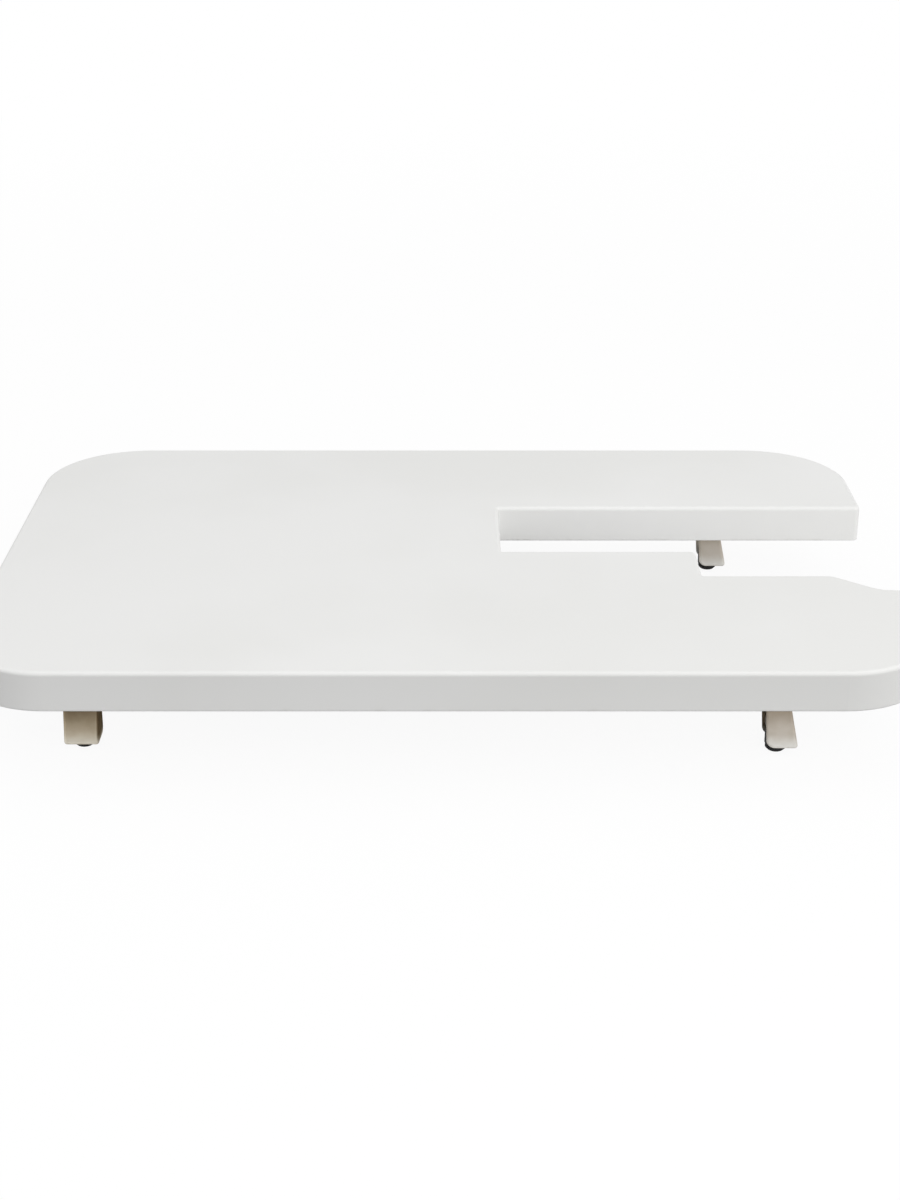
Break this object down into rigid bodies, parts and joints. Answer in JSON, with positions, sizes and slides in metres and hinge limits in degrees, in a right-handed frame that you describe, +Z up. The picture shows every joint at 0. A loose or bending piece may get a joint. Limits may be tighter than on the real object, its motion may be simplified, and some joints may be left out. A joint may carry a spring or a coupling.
{
  "type": "sewing machine extension table",
  "caption": "Low white extension table with a stepped cut-out for a sewing machine's free arm, folding channel legs and screw-adjustable rubber feet.",
  "frame": {"origin": "on the floor under the middle of the table, centre of the bounding box's bottom", "axes": "+X to the right, the open end of the cut-out; +Y to the back; +Z up"},
  "size_m": [0.6, 0.4, 0.076],
  "materials": {
    "top_plastic": "fine satin moulding",
    "leg_steel": "satin nickel plated",
    "bracket_steel": "zinc plated",
    "rivet_steel": "zinc plated",
    "washer_nylon": "natural nylon",
    "screw_steel": "zinc plated",
    "nut_steel": "zinc plated",
    "stud_steel": "zinc plated",
    "knob_plastic": "black satin",
    "foot_rubber": "black matte"
  },
  "bodies": {
    "table": {"table_top": "top_plastic", "front_left_hinge_bracket": "bracket_steel", "front_left_hinge_rivet": "rivet_steel", "front_left_hinge_washers": "washer_nylon", "front_left_bracket_screws": "screw_steel", "back_left_hinge_bracket": "bracket_steel", "back_left_hinge_rivet": "rivet_steel", "back_left_hinge_washers": "washer_nylon", "back_left_bracket_screws": "screw_steel", "front_right_hinge_bracket": "bracket_steel", "front_right_hinge_rivet": "rivet_steel", "front_right_hinge_washers": "washer_nylon", "front_right_bracket_screws": "screw_steel", "back_right_hinge_bracket": "bracket_steel", "back_right_hinge_rivet": "rivet_steel", "back_right_hinge_washers": "washer_nylon", "back_right_bracket_screws": "screw_steel"},
    "front_left_leg": {"front_left_leg": "leg_steel", "front_left_foot_nut": "nut_steel"},
    "front_left_foot": {"front_left_foot_pad": "foot_rubber"},
    "front_left_adjuster": {"front_left_foot_screw": "stud_steel", "front_left_foot_knob": "knob_plastic"},
    "back_left_leg": {"back_left_leg": "leg_steel", "back_left_foot_nut": "nut_steel"},
    "back_left_foot": {"back_left_foot_pad": "foot_rubber"},
    "back_left_adjuster": {"back_left_foot_screw": "stud_steel", "back_left_foot_knob": "knob_plastic"},
    "front_right_leg": {"front_right_leg": "leg_steel", "front_right_foot_nut": "nut_steel"},
    "front_right_foot": {"front_right_foot_pad": "foot_rubber"},
    "front_right_adjuster": {"front_right_foot_screw": "stud_steel", "front_right_foot_knob": "knob_plastic"},
    "back_right_leg": {"back_right_leg": "leg_steel", "back_right_foot_nut": "nut_steel"},
    "back_right_foot": {"back_right_foot_pad": "foot_rubber"},
    "back_right_adjuster": {"back_right_foot_screw": "stud_steel", "back_right_foot_knob": "knob_plastic"}
  },
  "joints": [
    {"name": "front_left_leg_fold", "type": "hinge", "parent": "table", "child": "front_left_leg", "pos_m": [-0.229, -0.14047, 0.06], "axis": [1, 0, 0], "range_deg": [0, 98]},
    {"name": "front_left_foot_height", "type": "slide", "parent": "front_left_leg", "child": "front_left_foot", "axis": [0, 0, -1], "range_m": [-0.0015, 0.008]},
    {"name": "front_left_adjuster_turn", "type": "hinge", "parent": "front_left_foot", "child": "front_left_adjuster", "pos_m": [-0.229, -0.1455, 0.012], "axis": [0, 0, -1], "range_deg": [-550, 2890]},
    {"name": "back_left_leg_fold", "type": "hinge", "parent": "table", "child": "back_left_leg", "pos_m": [-0.229, 0.14047, 0.06], "axis": [-1, 0, 0], "range_deg": [0, 98]},
    {"name": "back_left_foot_height", "type": "slide", "parent": "back_left_leg", "child": "back_left_foot", "axis": [0, 0, -1], "range_m": [-0.0015, 0.008]},
    {"name": "back_left_adjuster_turn", "type": "hinge", "parent": "back_left_foot", "child": "back_left_adjuster", "pos_m": [-0.229, 0.1455, 0.012], "axis": [0, 0, -1], "range_deg": [-550, 2890]},
    {"name": "front_right_leg_fold", "type": "hinge", "parent": "table", "child": "front_right_leg", "pos_m": [0.20397, -0.152, 0.06], "axis": [0, 1, 0], "range_deg": [0, 98]},
    {"name": "front_right_foot_height", "type": "slide", "parent": "front_right_leg", "child": "front_right_foot", "axis": [0, 0, -1], "range_m": [-0.0015, 0.008]},
    {"name": "front_right_adjuster_turn", "type": "hinge", "parent": "front_right_foot", "child": "front_right_adjuster", "pos_m": [0.209, -0.152, 0.012], "axis": [0, 0, -1], "range_deg": [-550, 2890]},
    {"name": "back_right_leg_fold", "type": "hinge", "parent": "table", "child": "back_right_leg", "pos_m": [0.19597, 0.144, 0.06], "axis": [0, 1, 0], "range_deg": [0, 98]},
    {"name": "back_right_foot_height", "type": "slide", "parent": "back_right_leg", "child": "back_right_foot", "axis": [0, 0, -1], "range_m": [-0.0015, 0.008]},
    {"name": "back_right_adjuster_turn", "type": "hinge", "parent": "back_right_foot", "child": "back_right_adjuster", "pos_m": [0.201, 0.144, 0.012], "axis": [0, 0, -1], "range_deg": [-550, 2890]}
  ],
  "couplings": [
    {"joint": "front_left_adjuster_turn", "follows": "front_left_foot_height", "rad_per_m": 6283.2},
    {"joint": "back_left_adjuster_turn", "follows": "back_left_foot_height", "rad_per_m": 6283.2},
    {"joint": "front_right_adjuster_turn", "follows": "front_right_foot_height", "rad_per_m": 6283.2},
    {"joint": "back_right_adjuster_turn", "follows": "back_right_foot_height", "rad_per_m": 6283.2}
  ]
}
